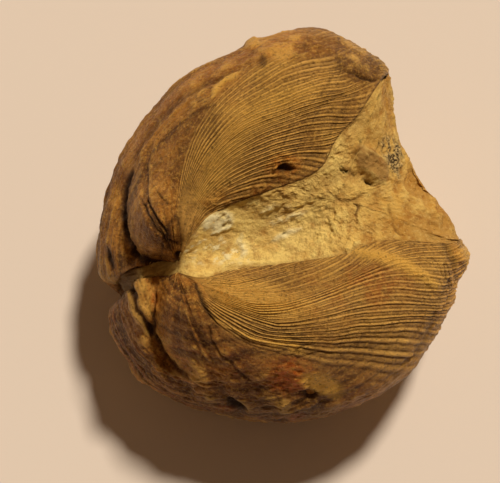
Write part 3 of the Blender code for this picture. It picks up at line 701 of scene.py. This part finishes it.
def valve_faces(rows, steps, first_inner):
    """Faces of a valve: fine outside, lining of a fifth as many rows and steps, wall between them."""
    quads, tips, rim = fan_faces(rows, steps, 0)
    lining, lining_tips, inner = fan_faces((rows - 1) // LINING + 1, steps // LINING, first_inner)
    after, inner_after = np.roll(rim, -1), np.roll(inner, -1)
    i = np.arange(len(rim))
    to = np.where(i % LINING < 2, inner[i // LINING], inner_after[i // LINING])
    wall = np.stack([after, rim, to], -1)
    j = np.arange(len(inner))
    wedge = np.stack([rim[LINING * j + 2], inner, inner_after], -1)
    faces = quads.tolist() + tips.tolist()
    faces += lining[:, ::-1].tolist() + lining_tips[:, ::-1].tolist()
    return faces + wall.tolist() + wedge.tolist()


def fanned(grid):
    """Grid values as a list whose first item is the shared start of all the rows."""
    return np.concatenate([grid[:1, 0], grid[:, 1:].reshape((-1,) + grid.shape[2:])])


def rib_shape(number, spacing):
    """Height from 0 to 1 across the ribs: a broad crest at each whole number and a narrow groove
    between, and where the ribs are far apart a second rib between each two.
    """
    single = 1 - (np.abs(number - np.round(number)) * 2) ** 2.6
    double = 1 - (np.abs(2 * number - np.round(2 * number)) * 2) ** 2.2
    share = ease(0.95, 1.3, spacing)
    return single * (1 - share) + (0.35 * single + 0.65 * double) * share


def build_valve(name, beak, paths, ribbed, marks_of, material, node_name):
    """A valve: ribs, growth lines and its own marks as heights along the outward normal of the
    smooth surface, with a plain lining a shell's thickness inside.
    """
    last = paths[-1][0]
    numbers = rib_numbers(ribbed, last)
    q_grid = valve_places(beak, paths, VALVE_STEPS, numbers)
    q = q_grid.reshape(-1, 2)
    plain = surface(q)
    normal = outward(q)
    grid = plain.reshape(q_grid.shape[:2] + (3,))
    spacing = np.linalg.norm(np.gradient(grid, numbers, axis=0), axis=2).ravel()
    share = np.tile(np.linspace(0, 1, VALVE_STEPS + 1) ** STEP_GROWTH, len(numbers))
    number = np.repeat(numbers, VALVE_STEPS + 1)
    border = surface(valve_border(beak, paths))
    seam = border_distance(plain, border)
    plan = seen_from_back(q)
    top = ease(1.05, 0.98, unchart(q)[1])
    relief, marks = marks_of(number, share, spacing, plain, plan, seam, top)
    relief = relief * (1 - 0.6 * bell(seam, 0.5)) - 0.12 * bell(seam, 0.2)
    outer = plain + normal * relief[:, None]

    inner_q = q_grid[::LINING, ::LINING]
    inner_share = np.linspace(0, 1, VALVE_STEPS // LINING + 1) ** STEP_GROWTH
    thickness = SHELL * (0.4 + 0.6 * ease(0, 0.12, np.tile(inner_share, len(inner_q))))
    flat = inner_q.reshape(-1, 2)
    inner = surface(flat, 1) - outward(flat, 0.04, 1) * thickness[:, None]

    outer = fanned(outer.reshape(grid.shape))
    inner = fanned(inner.reshape(inner_q.shape[:2] + (3,)))
    faces = valve_faces(len(numbers), VALVE_STEPS, len(outer))
    points = np.vstack([outer, inner])
    for key, values in marks.items():
        marks[key] = np.concatenate([fanned(values.reshape(q_grid.shape[:2])), np.zeros(len(inner))])
    corners = points[np.array([face[:3] for face in faces])]
    if (np.cross(corners[:, 0], corners[:, 1]) * corners[:, 2]).sum() < 0:
        faces = [face[::-1] for face in faces]
    piece = new_piece(name, points, faces, marks, material)
    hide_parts(node_name)
    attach(piece, "root")


def growth_lines(share, points, seed):
    """Fine uneven lines across the growth: noise along the share of the way from beak to edge."""
    warp = share + 0.006 * noise(points, 9.0, seed) + 0.0015 * noise(points, 1.5, seed + 1)
    return 0.6 * drawn(warp * 60, 0 * warp, seed + 2) + 0.6 * drawn(warp * 133, 0 * warp, seed + 3)


def growth_halts(share, points, halts, seed, fine_seed):
    """Each halt is a height reached by a slow rise along the growth and left by a sharp fall."""
    off = share + 0.012 * noise(points, 7.0, seed) + 0.003 * noise(points, 1.2, fine_seed)
    return sum(
        high * (ease(-0.035, 0.0, off - halt) - ease(0.0, 0.006, off - halt))
        for halt, high in halts
    )


def broken_cracks(stroke, points, cracks, seed):
    """Depth in mm and painted shade of the cracks, each a line mark interrupted where noise is low."""
    gaps = noise(points, 2.5, seed)
    depth, dark = np.zeros(len(points)), np.zeros(len(points))
    for line, width, deep in cracks:
        mark = stroke(line, width) * ease(-0.7, 0.1, gaps + 0.8 * deep)
        depth += deep * mark
        dark = np.maximum(dark, mark * min(1, deep * 1.6))
    return depth, dark


def shell_material(name, groove, rib, plain_dark, plain_light, rust):
    """Shell: dark grooves and tan rib crests, mottled smooth parts, rust, and pale and dark marks. The low
    mark carries painted shade in hollows and grooves, the high mark painted highlights on raised parts and
    rib crests, the pale mark pale shell and a painted sheen, and the dark mark mostly painted shade in
    cracks, pits and creases.
    """
    material, tree, shader = new_material(name)
    mottle = blend_colours(tree, spots(tree, 6.0, 0.35, 0.65), plain_dark, plain_light)
    mottle = tinted(tree, mottle, [
        (times(tree, spots(tree, 3.0, 0.5, 0.62, 8.0, 0.75), 0.6), groove),
        (times(tree, spots(tree, 2.0, 0.52, 0.64, 8.0, 0.75), 0.5), rib),
    ])
    ribs = tinted(tree, blend_colours(tree, attribute(tree, "rib"), groove, rib), [
        (times(tree, spots(tree, 4.0, 0.48, 0.66, 6.0, 0.7), 0.5), plain_dark),
        (times(tree, spots(tree, 9.0, 0.48, 0.66), 0.5), colour(216, 170, 82)),
    ])
    base = tinted(tree, blend_colours(tree, attribute(tree, "ribbed"), mottle, ribs), [
        (times(tree, attribute(tree, "low"), 0.65), groove),
        (times(tree, attribute(tree, "line"), 0.65), groove),
        (times(tree, attribute(tree, "high"), 0.6), colour(242, 198, 104)),
        (times(tree, attribute(tree, "rust"), spots(tree, 1.2, 0.3, 0.6)), rust),
        (attribute(tree, "pale"), colour(246, 198, 92)),
        (times(tree, spots(tree, 0.7, 0.5, 0.68, 3.0), 0.45), colour(236, 188, 92)),
        (times(tree, spots(tree, 0.6, 0.54, 0.7, 3.0), 0.6), colour(60, 35, 13)),
        (times(tree, attribute(tree, "dark"), 0.9), colour(48, 27, 11)),
    ])
    finish(tree, shader, base, 0.28, (1.2, 0.5, 0.28), (1.0, 0.00035, 0.6, 0.75))
    return material


# Marks of the right valve, as points seen from the back in mm
RIGHT_CRACKS = [
    ([(-30.1, 5.5), (-28.4, 2.2), (-26.4, -0.4), (-25.1, -3.1), (-23.3, -4.0)], 0.24, 0.6),
    ([(-31.5, 6.2), (-30.1, 2.9), (-28.4, -0.4), (-26.0, -2.9), (-23.8, -6.6)], 0.22, 0.4),
    ([(-27.5, 7.5), (-26.2, 5.9), (-24.6, 4.4)], 0.18, 0.3),
    ([(-29.3, 2.6), (-27.5, -0.4), (-25.3, -4.4), (-24.4, -7.0)], 0.16, 0.25),
    ([(-30.8, 4.6), (-29.5, 0.9), (-27.5, -2.6), (-25.3, -5.7)], 0.16, 0.25),
    ([(13.6, 34.1), (15.6, 33.7), (17.4, 32.6), (19.1, 32.1), (20.9, 32.3)], 0.26, 0.7),
    ([(12.1, 37.0), (12.8, 35.0), (12.3, 32.6)], 0.3, 0.25),
]
RIM_BAND = [(-37.6, 5.7), (-35.4, 12.3), (-31.5, 20.0), (-23.8, 28.8), (-13.9, 34.8), (0.4, 40.5)]
RIM_GROOVE = [(-33.4, 12.8), (-30.1, 19.8), (-24.4, 26.4), (-16.1, 31.7), (-9.5, 34.3)]
CRUST = [(-17.4, 4.8), (-12.8, 5.5), (-7.3, 6.8), (-1.8, 8.1), (4.2, 10.3)]
CREASE = [(-33.4, 11.9), (-34.5, 9.2), (-35.0, 5.3), (-34.9, 1.3), (-34.1, -2.6), (-32.1, -6.4)]
UNDER_UMBO = [(-33.0, -5.3), (-31.9, -6.8), (-29.5, -8.0), (-26.6, -8.9), (-24.4, -8.8), (-23.3, -7.9)]
FLAME = [(-15.4, 28.4), (-14.3, 30.6), (-12.3, 32.3), (-10.1, 33.4)]
# Line of the painted sheen: rib crests painted paler and grooves darker along it, standing in for a
# highlight
PAINTED_SHEEN = [(-17.6, 6.6), (-14.3, 15.0), (-8.6, 22.4), (-0.2, 28.2), (5.9, 29.5)]
RIGHT_HALTS = [(0.26, 0.12), (0.34, 0.2), (0.43, 0.15), (0.52, 0.24), (0.66, 0.24), (0.79, 0.2)]


def right_marks(number, share, spacing, points, plan, seam, top):
    """Relief in mm and marks of the right valve, from the rib number, share and place."""
    wobble = shaken(plan, points, 0.3, 1.5, 31)
    stroke, patch = marker(wobble, top)
    worn = ease(0.3, 0.9, rough(points, 6.0, 35, 4)) * 0.6
    crown = patch((3.7, 39.2), (10.5, 2.6), 4, 0.4)
    rear = patch((17.4, 34.8), (5.0, 3.5), -30, 0.4)
    fade = ease(27.5, 24.5, number) * ease(0.03, 0.1, share)
    crust = stroke(CRUST, 1.3, 0.4) * ease(-0.5, 0.1, rough(points, 2.0, 50, 3))
    fade = fade * (1 - 0.85 * crown) * (1 - 0.75 * rear) * (1 - 0.7 * crust)
    ribs = rib_shape(number + 0.12 * noise(points, 5.0, 37) + 0.02 * noise(points, 1.5, 38), spacing)
    lines = growth_lines(share, points, 41)
    folds = drawn(number * 1.3, share * 5, 58)
    smooth = ease(25.0, 29.0, number)
    strength = 0.85 + 0.35 * drawn(number * 2, share * 5, 36)
    relief = 0.78 * np.minimum(spacing, 0.9) ** 0.5 * (ribs - 0.75) * fade * (1 - 0.8 * worn) * strength
    rim = bell(unchart(seen_at(plan))[1] - 1, 0.06)
    relief += (0.04 + 0.1 * smooth) * lines
    relief += (0.08 + 0.06 * smooth) * rough(points, 1.6, 45, 4, 0.75)
    relief += (0.4 * rim + 0.35 * crown + 0.3 * rear) * rough(points, 4.0, 46, 4)
    relief += 0.3 * crust * (0.6 + rough(points, 1.3, 51, 4, 0.7))
    relief += 0.6 * patch_mark(plan, (-6.8, 40.0), (1.4, 0.9), 30) * top
    relief += 0.3 * rough(points, 9.0, 49, 2)
    relief += 0.25 * folds * smooth * ease(0.6, 0.25, share)
    parts = ease(-0.8, 0.3, noise(points, 12.0, 47)) * (0.2 + 0.8 * smooth)
    relief += growth_halts(share, points, RIGHT_HALTS, 59, 48) * parts
    depth, cracks = broken_cracks(stroke, points, RIGHT_CRACKS, 60)
    relief -= depth
    pit = patch((0.4, 12.5), (1.9, 1.0), 12, 0.4)
    halo = patch((0.2, 13.4), (3.6, 2.4), 10, 0.5)
    relief += halo * 0.35 * (1 + rough(points, 1.0, 53, 2)) - 1.3 * pit
    eye = patch((-23.1, -6.2), (0.7, 0.6), 0, 0.5)
    spot = patch((-4.4, 36.1), (0.9, 1.1), 0, 0.5)
    flame = stroke(FLAME, 0.5)
    relief += 0.4 * flame - 0.8 * eye
    band = stroke(RIM_BAND, 1.3, 0.2, 24)
    groove = stroke(RIM_GROOVE, 0.6, 0.6, 24)
    relief -= 0.35 * groove
    # The crease between the lip and the umbo and the edge under the umbo are cut in, and the dark mark
    # gives them painted shade.
    crease = stroke(CREASE, 0.35, 0.6, 24)
    shade = stroke(CREASE, 0.6, 0.8, 24)
    under = stroke(UNDER_UMBO, 0.45, 0.4, 24)
    relief -= 0.8 * crease + 0.5 * shade + 0.7 * under
    lip = ease(36.0, 38.5, number) * ease(0.45, 0.6, share)
    lip_side = np.clip(lip * (1 - shade), 0, 1)
    slit = stroke([(-38.7, -4.6), (-38.3, -6.8), (-37.6, -9.5)], 0.35)
    relief += lip * 0.45 * rough(points, 3.0, 57, 3) - 0.8 * slit
    # Painted sheen: a band where the crests are painted paler and the grooves darker, in place of a
    # highlight.
    painted_sheen = stroke(PAINTED_SHEEN, 2.6, 0.4)
    bands = drawn(share * 13, number * 0.12, 40) + 0.5 * noise(points, 6.0, 42)
    patches = rough(points, 5.0, 39, 3)
    broken = np.clip(crown + rear + 0.5 * band, 0, 1)
    # Colour marks. low: painted shade in the hollows of the relief and in the grooves between the ribs,
    # strongest under the painted sheen, plus darker bands, patches and crust. high: a painted highlight on
    # the raised relief and on the rib crests, strongest under the painted sheen, plus paler patches. pale:
    # the peeled flame and the painted sheen on the crests. dark: painted shade in the cracks, pit, eye,
    # slit, rim groove and crease and under the umbo, and a painted shade line along the seam with the
    # stone, plus a dark spot.
    marks = {
        "rib": ribs**1.6 * (0.6 + 0.4 * strength),
        "ribbed": fade * (1 - 0.7 * worn),
        "line": ease(0.1, 0.9, -lines) * (1 - 0.4 * fade),
        "low": ease(0.0, -0.5, relief) + (0.6 + 0.4 * painted_sheen) * fade * (1 - ribs)
        + broken * ease(0.05, -0.35, patches)
        + (0.3 + 0.3 * smooth) * ease(0.1, 0.7, bands) + 0.5 * crust,
        "high": ease(0.1, 0.5, relief) + broken * ease(0.05, 0.4, patches)
        + (0.25 + 0.9 * painted_sheen) * fade * ribs**3,
        "rust": 0.8 * halo + 0.5 * crust + 0.45 * band + 0.7 * lip_side * top + 0.2 * crown,
        "pale": 0.6 * flame + 0.5 * painted_sheen * fade * ribs,
        "dark": cracks + pit + eye + 0.6 * spot + slit + 0.35 * groove + crease + 0.6 * shade + under
        + 0.6 * bell(seam, 0.3) * top * ease(0.3, 0.7, share),
    }
    return relief, {name: np.clip(mark, 0, 1) for name, mark in marks.items()}


right_shell = shell_material(
    "brown_shell", colour(74, 42, 14), colour(246, 196, 108),
    colour(132, 84, 31), colour(202, 142, 60), colour(200, 124, 36),
)
build_valve(
    "ribbed_right_valve", RIGHT_BEAK, RIGHT_PATHS, 26, right_marks, right_shell,
    "right_valve",
)


# The left valve
# The lower shell in the view from the back, redder and more broken: a pale keel runs to its
# rear, the rear rim is ragged and dark, and below it patches of stone show where shell is gone.

LEFT_CRACKS = [
    ([(-19.4, -12.5), (-18.5, -14.3), (-17.8, -16.3), (-16.3, -19.6), (-15.0, -20.9)], 0.3, 0.7),
    ([(-16.3, -22.0), (-15.8, -24.4), (-15.0, -26.6), (-13.6, -28.4)], 0.18, 0.35),
    ([(-15.0, -26.0), (-13.6, -28.2), (-11.4, -30.1), (-9.5, -32.3), (-7.5, -34.3)], 0.22, 0.4),
    ([(2.0, -28.2), (3.7, -26.8), (6.4, -26.0)], 0.2, 0.3),
    ([(-20.9, -22.9), (-19.1, -25.5), (-16.9, -27.7)], 0.2, 0.3),
    ([(-19.1, -33.9), (-16.9, -34.8), (-14.3, -35.2)], 0.2, 0.35),
    ([(-0.7, -27.7), (3.7, -28.6), (8.6, -27.7), (13.6, -29.0)], 0.2, 0.25),
]
SCARP = [(-15.0, -20.7), (-12.1, -22.2), (-9.2, -23.5), (-6.4, -24.9), (-3.7, -25.7), (0.7, -26.8)]
TROUGH = [(-27.7, -12.8), (-28.4, -18.0), (-27.9, -24.2), (-25.7, -28.4), (-22.7, -31.5), (-18.3, -35.2)]
LIP_EDGE = [(-34.1, -13.4), (-32.6, -15.0), (-32.1, -18.3), (-29.9, -21.1), (-29.0, -23.8)]
LIP_RIDGE = [(-35.0, -13.6), (-33.4, -15.4), (-33.0, -18.3), (-31.0, -21.1), (-29.9, -23.5)]
KNOB_LINE = [(-30.1, -7.9), (-30.4, -10.8), (-30.6, -16.3), (-29.9, -20.2)]
KEEL = [(15.8, -5.7), (18.3, -6.4), (25.1, -7.9), (30.1, -10.6), (33.7, -13.2)]
REAR_RIM = [(35.4, -2.6), (37.6, -9.2), (36.7, -13.9), (34.8, -18.5), (28.8, -28.6), (24.6, -33.0)]
REAR_EDGE = [(35.9, -1.3), (38.5, -9.2), (37.6, -13.9), (35.4, -19.4), (29.3, -29.5), (24.6, -34.3)]
LEFT_HALTS = [(0.3, 0.12), (0.4, 0.2), (0.55, 0.22), (0.68, 0.22), (0.8, 0.25), (0.9, 0.25)]


def left_marks(number, share, spacing, points, plan, seam, top):
    """Relief in mm and marks of the left valve, from the rib number, share and place."""
    wobble = shaken(plan, points, 0.3, 1.5, 61)
    stroke, patch = marker(wobble, top)
    worn = ease(0.3, 0.9, rough(points, 5.0, 65, 4)) * 0.6
    fade = ease(30.5, 28.0, number) * ease(0.03, 0.1, share)
    ribs = rib_shape(number + 0.12 * noise(points, 5.0, 67) + 0.03 * noise(points, 1.5, 68), spacing)
    lines = growth_lines(share, points, 71)
    smooth = ease(29.0, 32.0, number)
    folds = drawn(number * 1.5, share * 6, 88)
    strength = 0.85 + 0.35 * drawn(number * 2, share * 6, 66)
    relief = 0.74 * np.minimum(spacing, 0.9) ** 0.5 * (ribs - 0.75) * fade * (1 - 0.75 * worn) * strength
    edge = bell(unchart(seen_at(plan))[1] - 1, 0.06)
    relief += (0.04 + 0.1 * smooth) * lines
    relief += (0.09 + 0.06 * smooth) * rough(points, 1.6, 75, 4, 0.75)
    relief += 0.5 * edge * rough(points, 4.0, 76, 4)
    relief += 0.7 * patch_mark(plan, (39.4, -6.4), (1.0, 1.6)) * top
    crumbly = smooth * ease(-26.0, -34.0, plan[:, 1]) * top
    relief += 0.3 * crumbly * terraces(1.6 * rough(points, 3.5, 93, 4), 0.2)
    relief += 0.25 * rough(points, 8.0, 79, 2) + smooth * 0.34 * rough(points, 4.5, 89, 4)
    relief += 0.25 * folds * smooth * ease(0.7, 0.3, share)
    parts = ease(-0.8, 0.3, noise(points, 12.0, 77)) * (0.2 + 0.8 * smooth)
    relief += growth_halts(share, points, LEFT_HALTS, 90, 78) * parts
    plates = ease(0.42, 0.6, share) * bell(number - 17.5, 3.0) * fade
    splits = np.abs(drawn(number * 0.35, 34 * share + 0.14 * noise(points, 1.0, 74), 73))
    splits = plates * ease(0.1, 0.02, splits) * ease(-0.5, 0.2, noise(points, 3.0, 72))
    relief -= 0.22 * splits
    depth, cracks = broken_cracks(stroke, points, LEFT_CRACKS, 92)
    relief -= depth
    scarp = stroke(SCARP, 0.35)
    relief += 0.35 * scarp
    # The trough's crease and the lip's edge are cut in, and the dark mark gives them painted shade.
    crease = stroke(TROUGH, 0.3, 0.5, 24)
    shade = stroke(TROUGH, 1.1, 0.6, 24)
    relief += 0.3 * shade * rough(points, 1.5, 71, 3) - 0.5 * crease
    lip = ease(37.0, 39.0, number) * ease(0.4, 0.55, share)
    relief += lip * 0.5 * rough(points, 3.0, 91, 3)
    lip_edge = stroke(LIP_EDGE, 0.4, 0.4)
    relief -= 0.8 * lip_edge
    knob = stroke(KNOB_LINE, 1.7, 0.4, 24)
    ridge = stroke(LIP_RIDGE, 0.5, 0.4)
    spike = patch_mark(plan, (-33.9, -13.0), (1.0, 0.6), 60) * top
    relief += 0.7 * ridge + 0.9 * spike
    keel = stroke(KEEL, 0.9, 0.5, 24)
    relief += 0.7 * keel + 0.4 * knob
    rim = stroke(REAR_RIM, 0.7, 0.1, 24)
    beyond = ease(1.6, 0.9, along(REAR_EDGE, wobble)[0]) * top
    rim = rim * ease(-0.6, 0.2, rough(points, 2.5, 69, 3))
    relief -= 0.45 * rim
    reddish = patch((1.8, -33.0), (4.6, 3.6), 0, 0.5)
    stone_patch = patch((8.6, -35.0), (4.8, 2.3), -22, 0.3)
    relief += reddish * 0.3 * rough(points, 1.1, 83, 3) - 0.35 * stone_patch
    pit = patch((5.9, -37.4), (1.7, 0.8), -20, 0.4)
    hole = patch((-10.3, -39.4), (2.1, 0.8), -22, 0.4)
    chips = np.maximum(patch((-12.1, -40.3), (2.0, 0.6), -15, 0.4), patch((2.9, -42.2), (1.8, 0.7), 8, 0.4))
    relief += 0.3 * chips - 1.2 * pit - 1.3 * hole
    lip_pit = patch((-29.3, -22.7), (0.8, 1.0), 0, 0.5)
    lip_hole = patch((-33.0, -14.1), (0.8, 0.7), -30, 0.5)
    relief -= 0.6 * lip_pit + 0.5 * lip_hole
    # Painted sheen over the middle ribs: crests painted paler and grooves less dark, in place of a
    # highlight.
    painted_sheen = patch((-6.2, -16.3), (12.0, 3.6), -12, 0.6)
    brown = patch((15.2, -14.1), (13.0, 5.0), 8, 0.6)
    brown = brown * ease(-0.6, 0.2, rough(points, 5.0, 94, 3))
    gold = patch((2.0, -26.2), (4.5, 1.6), -8, 0.5)
    gold = gold * ease(-0.3, 0.2, noise(points, 2.0, 95))
    bands = drawn(share * 12, number * 0.12, 82) + 0.5 * noise(points, 5.0, 81)
    arcs = smooth * ease(0.12, 0.02, np.abs(drawn(share * 26, number * 0.15, 96)))
    # Colour marks. low: painted shade in the hollows of the relief and in the grooves between the ribs,
    # weaker under the painted sheen, plus the brown patch and darker bands. high: a painted highlight on
    # the raised relief, on the rib crests, strongest under the painted sheen, and on the lip ridge and
    # spike. pale: the keel, scarp, stone patch, gold patch and the rim beyond, the painted sheen on the
    # crests, and painted light on the upper end of the knob. rust: red patches, chips, the rim beyond, the
    # brown patch and arcs. dark: painted shade in the cracks, splits, pits, holes, rear rim groove, trough
    # crease and lip edge, and a painted shade line along the seam with the stone; it also darkens towards
    # the lower rim.
    marks = {
        "rib": ribs**1.6 * (0.6 + 0.4 * strength),
        "ribbed": fade * (1 - 0.6 * worn),
        "line": ease(0.1, 0.9, -lines) * (1 - 0.7 * fade),
        "low": (ease(0.0, -0.5, relief) + 0.6 * fade * (1 - ribs)) * (1 - 0.4 * painted_sheen)
        + 0.8 * brown * (1 - 0.6 * ribs) + (0.3 + 0.15 * smooth) * ease(0.1, 0.7, bands),
        "high": ease(0.1, 0.5, relief) + (0.25 + 0.9 * painted_sheen) * fade * ribs**2 + ridge + spike,
        "rust": reddish + 0.8 * chips + 0.3 * beyond + 0.3 * brown + 0.35 * arcs * top,
        "pale": 0.6 * keel + 0.35 * beyond + stone_patch + 0.7 * gold + 0.4 * scarp
        + 0.5 * painted_sheen * fade * ribs + 0.4 * knob * ease(-12.0, -9.0, plan[:, 1]),
        "dark": cracks + 0.6 * splits + pit + hole + 0.5 * lip_pit + 0.5 * lip_hole + 0.5 * rim
        + 0.6 * crease + 0.5 * lip_edge + 0.5 * smooth * ease(-34.0, -42.0, plan[:, 1])
        + 0.3 * bell(seam, 0.3) * top,
    }
    return relief, {name: np.clip(mark, 0, 1) for name, mark in marks.items()}


left_shell = shell_material(
    "red_brown_shell", colour(76, 42, 14), colour(248, 200, 114),
    colour(138, 86, 32), colour(204, 142, 60), colour(216, 116, 40),
)
build_valve(
    "ribbed_left_valve", LEFT_BEAK, LEFT_PATHS, 29, left_marks, left_shell,
    "left_valve",
)


# The floor, the light and the camera
# A plain pale floor, a large soft warm lamp up beyond the right valve, and a camera that looks
# straight onto the back.

floor_mesh = bpy.data.meshes.new("floor")
side = np.array([[-2, -2, 0], [2, -2, 0], [2, 2, 0], [-2, 2, 0]], float)
floor_mesh.from_pydata(side.tolist(), [], [(0, 1, 2, 3)])
floor = bpy.data.objects.new("floor", floor_mesh)
bpy.context.scene.collection.objects.link(floor)
floor_material, _, floor_shader = new_material("pale_floor")
floor_shader.inputs["Base Color"].default_value = (0.78, 0.74, 0.73, 1.0)
floor_shader.inputs["Roughness"].default_value = 0.8
floor_mesh.materials.append(floor_material)

LIGHT_FROM = np.array([0.270, 0.650, 0.711])
CAMERA_PLACE = np.array([-7.26, -3.41, VIEW_HEIGHT])
lamp_data = bpy.data.lights.new("lamp", "SUN")
lamp_data.angle = math.radians(8)
lamp_data.energy = 3.1
lamp_data.color = (1.0, 0.83, 0.62)
lamp = bpy.data.objects.new("lamp", lamp_data)
lamp_way = Vector((lie_down(LIGHT_FROM[None] + REST_POINT) * 1000)[0].tolist())
lamp.location = lamp_way * 0.5
lamp.rotation_euler = lamp_way.to_track_quat("Z", "Y").to_euler()
bpy.context.scene.collection.objects.link(lamp)

world = bpy.data.worlds.new("room")
bpy.context.scene.world = world
world.use_nodes = True
world.node_tree.nodes["Background"].inputs["Color"].default_value = (1.0, 0.56, 0.28, 1.0)
world.node_tree.nodes["Background"].inputs["Strength"].default_value = 0.13

camera_data = bpy.data.cameras.new("camera")
camera_data.lens = 135
camera_data.sensor_width = 36
camera = bpy.data.objects.new("camera", camera_data)
camera.location = lie_down(CAMERA_PLACE).tolist()
camera.rotation_euler = (math.radians(LIE_ANGLE), 0, 0)
bpy.context.scene.collection.objects.link(camera)
bpy.context.scene.camera = camera
bpy.context.scene.view_settings.view_transform = "Standard"
